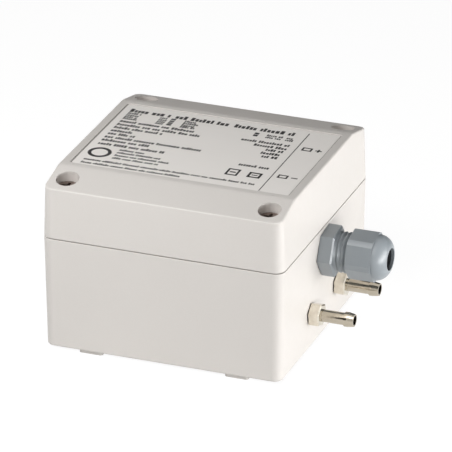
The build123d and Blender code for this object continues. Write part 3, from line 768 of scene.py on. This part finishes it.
def board_tracks():
    """Copper tracks under the solder mask, as strips just above the laminate."""
    chance = Random(11)
    shape = bmesh.new()
    width, depth = (board_high - board_low).xy / MM
    for number in range(track_count):
        y = track_margin + number * (depth - 2 * track_margin) / (track_count - 1)
        start = chance.uniform(5, 14)
        turn = chance.uniform(20, 34)
        end = chance.uniform(36, width - 4)
        shift = chance.choice((-1.2, 1.2))
        line = chance.choice((0.35, 0.35, 0.7))
        for x0, x1, row in ((start, turn, y), (turn, end, y + shift)):
            block(
                shape,
                on_board(x0, row - line / 2),
                on_board(x1, row + line / 2, track_thickness / MM),
                track_taper,
            )
        edges = sorted((y, y + shift))
        block(
            shape,
            on_board(turn - line / 2, edges[0]),
            on_board(turn + line / 2, edges[1], track_thickness / MM),
            track_taper,
        )
    piece("board_tracks", shape, "housing", "track_copper")


chip_resistor_places = [
    (11.5, 21.0),
    (11.5, 24.0),
    (20.5, 39.5),
    (24.0, 39.5),
    (20.5, 4.5),
    (24.0, 4.5),
]


def board_print():
    """White outlines printed round the components on the board."""
    shape = bmesh.new()
    lift, high, line = 0.05, 0.08, 0.18
    outlines = [
        ("terminal_block", 0.5),
        ("zero_trimmer", 0.4),
        ("span_trimmer", 0.4),
        ("pin_header", 0.5),
    ]
    for name, gap in outlines:
        low, top = span(name)
        x0, y0 = (low.x - board_low.x) / MM - gap, (low.y - board_low.y) / MM - gap
        x1, y1 = (top.x - board_low.x) / MM + gap, (top.y - board_low.y) / MM + gap
        for a, b, c, d in (
            (x0, y0, x1, y0 + line),
            (x0, y1 - line, x1, y1),
            (x0, y0, x0 + line, y1),
            (x1 - line, y0, x1, y1),
        ):
            block(shape, on_board(a, b, lift), on_board(c, d, high))
    piece("board_print", shape, "housing", "white_print")


def chip_resistors():
    """Small chip resistors with tinned ends, beside the larger components."""
    bodies, ends = bmesh.new(), bmesh.new()
    size = chip_resistor / MM
    body_lift, end_lift = 0.05, 0.03
    body_half, end_inner, end_outer = 0.33 * size.x, 0.32 * size.x, 0.62 * size.x
    end_half, end_height = 0.55 * size.y, 0.9 * size.z
    for x, y in chip_resistor_places:
        block(
            bodies,
            on_board(x - body_half, y - size.y / 2, body_lift),
            on_board(x + body_half, y + size.y / 2, body_lift + size.z),
            0.04 * MM,
        )
        for side in (-1, 1):
            edges = sorted((x + side * end_inner, x + side * end_outer))
            block(
                ends,
                on_board(edges[0], y - end_half, end_lift),
                on_board(edges[1], y + end_half, end_lift + end_height),
                0.12 * MM,
            )
    piece("chip_resistors", bodies, "housing", "header_plastic")
    piece("chip_resistor_ends", ends, "housing", "bright_tin")


def softbox(name, azimuth, elevation, distance, width, height, power):
    """Adds a soft area light that looks at the object; azimuths run from +X to +Y."""
    around, rise = radians(azimuth), radians(elevation)
    out = Vector((cos(around) * cos(rise), sin(around) * cos(rise), sin(rise)))
    lamp = bpy.data.lights.new(name, "AREA")
    lamp.shape = "RECTANGLE"
    lamp.size, lamp.size_y = width, height
    lamp.energy = power
    made = bpy.data.objects.new(name, lamp)
    made.location = lamp_aim + distance * out
    made.rotation_mode = "QUATERNION"
    made.rotation_quaternion = out.to_track_quat("Z", "Y")
    made.visible_camera = False
    scene.collection.objects.link(made)


def seen_directly(tree):
    """Node value that is 1 for camera, mirror and glass rays and 0 for soft light."""
    path = tree.nodes.new("ShaderNodeLightPath")
    value = path.outputs["Is Camera Ray"]
    for other in ("Is Glossy Ray", "Is Transmission Ray"):
        either = tree.nodes.new("ShaderNodeMath")
        either.operation = "MAXIMUM"
        tree.links.new(value, either.inputs[0])
        tree.links.new(path.outputs[other], either.inputs[1])
        value = either.outputs["Value"]
    return value


def white_world():
    """White behind the object, and a low even light on it."""
    world = bpy.data.worlds.new("studio")
    world.use_nodes = True
    scene.world = world
    tree = world.node_tree
    shown = tree.nodes["Background"]
    shown.inputs["Color"].default_value = (1, 1, 1, 1)
    shown.inputs["Strength"].default_value = 1.0
    soft = tree.nodes.new("ShaderNodeBackground")
    soft.inputs["Color"].default_value = (1.0, 0.985, 0.97, 1)
    soft.inputs["Strength"].default_value = soft_light
    mix = tree.nodes.new("ShaderNodeMixShader")
    tree.links.new(seen_directly(tree), mix.inputs[0])
    tree.links.new(soft.outputs["Background"], mix.inputs[1])
    tree.links.new(shown.outputs["Background"], mix.inputs[2])
    tree.links.new(mix.outputs["Shader"], tree.nodes["World Output"].inputs["Surface"])


def pale_floor():
    """Plain pale floor that shows white and keeps a faint shadow of the object."""
    material = bpy.data.materials.new("studio_floor")
    material.use_nodes = True
    tree = material.node_tree
    tree.nodes.clear()
    plain = tree.nodes.new("ShaderNodeBsdfDiffuse")
    plain.inputs["Color"].default_value = (0.8, 0.8, 0.8, 1)
    shadow = tree.nodes.new("ShaderNodeBsdfDiffuse")
    shadow.inputs["Color"].default_value = (0.16, 0.16, 0.16, 1)
    glow = tree.nodes.new("ShaderNodeEmission")
    glow.inputs["Color"].default_value = (1, 1, 1, 1)
    glow.inputs["Strength"].default_value = floor_glow
    both = tree.nodes.new("ShaderNodeAddShader")
    mix = tree.nodes.new("ShaderNodeMixShader")
    output = tree.nodes.new("ShaderNodeOutputMaterial")
    tree.links.new(shadow.outputs["BSDF"], both.inputs[0])
    tree.links.new(glow.outputs["Emission"], both.inputs[1])
    tree.links.new(seen_directly(tree), mix.inputs[0])
    tree.links.new(plain.outputs["BSDF"], mix.inputs[1])
    tree.links.new(both.outputs["Shader"], mix.inputs[2])
    tree.links.new(mix.outputs["Shader"], output.inputs["Surface"])
    shape = bmesh.new()
    bmesh.ops.create_grid(shape, x_segments=1, y_segments=1, size=floor_half_size)
    mesh = bpy.data.meshes.new("floor")
    shape.to_mesh(mesh)
    shape.free()
    mesh.materials.append(material)
    floor = bpy.data.objects.new("floor", mesh)
    floor.location.z = start_bounds[0].z - floor_gap
    scene.collection.objects.link(floor)


def studio_lights():
    """Boxes at the front left, above the front and at the right, and two strips near the floor."""
    box = near_box_size
    softbox("light_left", -130, 40, near_lamp, box, box, 0.6)
    softbox("light_high", -90, 60, near_lamp, box, box, 0.4)
    softbox("light_right", 0, 5, near_lamp, box, box, 0.3)
    softbox("strip_right", 0, 0, near_lamp, near_strip_width, strip_height, 0.58)
    softbox("strip_front", -30, 0, far_lamp, far_strip_width, strip_height, 2.3)


def dark_card(name, azimuth, distance, width, low, high):
    """Upright dark card, as photographers use: only glossy surfaces show it."""
    material = bpy.data.materials.new(name)
    material.use_nodes = True
    shader = material.node_tree.nodes["Principled BSDF"]
    shader.inputs["Base Color"].default_value = (0.02, 0.02, 0.02, 1)
    shader.inputs["Roughness"].default_value = 1.0
    shader.inputs["Specular IOR Level"].default_value = 0.0
    around = radians(azimuth)
    out = Vector((cos(around), sin(around), 0))
    aside = Vector((-out.y, out.x, 0)) * width / 2
    shape = bmesh.new()
    foot = out * distance
    corners = [(foot - aside, low), (foot + aside, low), (foot + aside, high), (foot - aside, high)]
    shape.faces.new([shape.verts.new((place.x, place.y, z)) for place, z in corners])
    mesh = bpy.data.meshes.new(name)
    shape.to_mesh(mesh)
    shape.free()
    mesh.materials.append(material)
    card = bpy.data.objects.new(name, mesh)
    card.visible_camera = False
    card.visible_diffuse = False
    card.visible_shadow = False
    card.visible_transmission = False
    scene.collection.objects.link(card)


def dark_cards():
    """One card behind the object, and one at the front left that the nozzles mirror."""
    dark_card("card_behind", 90, 350 * MM, 1400 * MM, 0, 450 * MM)
    dark_card("card_in_front", -110, 500 * MM, 450 * MM, 90 * MM, 410 * MM)


def photo_camera():
    """Camera at the place from which the photograph was taken."""
    right = Vector((cos(camera_yaw), sin(camera_yaw), 0))
    back = Vector(
        (
            sin(camera_yaw) * cos(camera_pitch),
            -cos(camera_yaw) * cos(camera_pitch),
            sin(camera_pitch),
        )
    )
    up = back.cross(right)
    lens = bpy.data.cameras.new("camera")
    lens.lens = camera_lens
    lens.sensor_width = camera_sensor
    lens.clip_start, lens.clip_end = 0.05, 20
    camera = bpy.data.objects.new("camera", lens)
    place = camera_aim - right * camera_shift[0] - up * camera_shift[1] + back * camera_distance
    turn = Matrix((right, up, back)).transposed().to_4x4()
    camera.matrix_world = Matrix.Translation(place) @ turn
    scene.collection.objects.link(camera)
    scene.camera = camera


finish_nodes()
label_print()
label_gap_shade()
label_ring()
screw_threads()
terminal_cages()
sensor_leads()
sensor_cap_ring()
capacitor_top()
board_tracks()
board_print()
chip_resistors()
white_world()
pale_floor()
studio_lights()
dark_cards()
photo_camera()
scene.view_settings.view_transform = "Standard"
